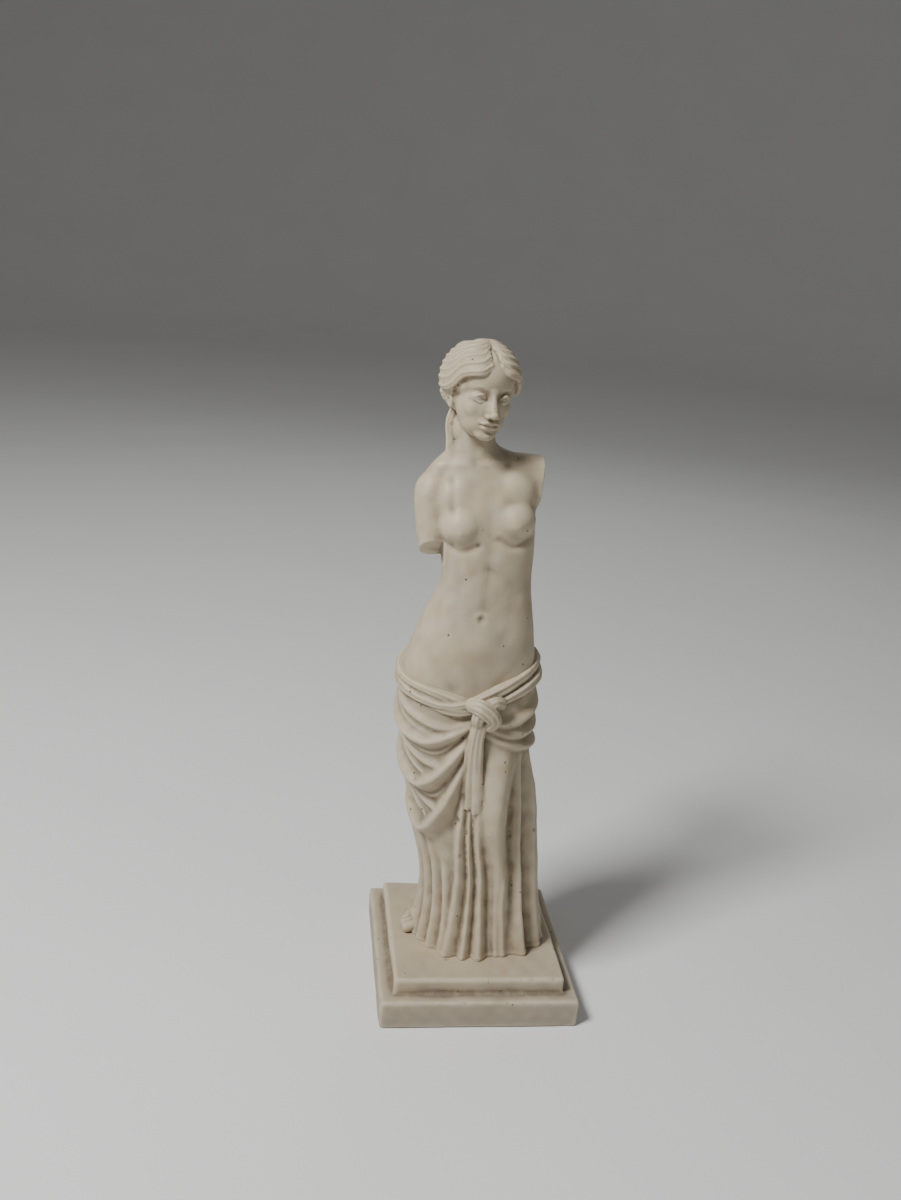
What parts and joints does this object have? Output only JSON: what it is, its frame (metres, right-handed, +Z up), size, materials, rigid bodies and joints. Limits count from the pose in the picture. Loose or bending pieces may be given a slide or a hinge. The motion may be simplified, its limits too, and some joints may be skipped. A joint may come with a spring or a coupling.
{
  "type": "classical goddess statuette",
  "caption": "Cast statuette of a half-draped classical goddess with lost arms, standing on a square plinth of two steps.",
  "frame": {"origin": "middle of the plinth's underside", "axes": "+Z up through the figure, -Y towards the figure's front, +X towards the figure's left side"},
  "size_m": [0.082, 0.082, 0.2692],
  "materials": {
    "cast_stone": "matt to satin cast stone, ivory to beige, slightly grimy in the hollows"
  },
  "bodies": {
    "root": {"aphrodite_statue": "cast_stone"}
  },
  "joints": []
}
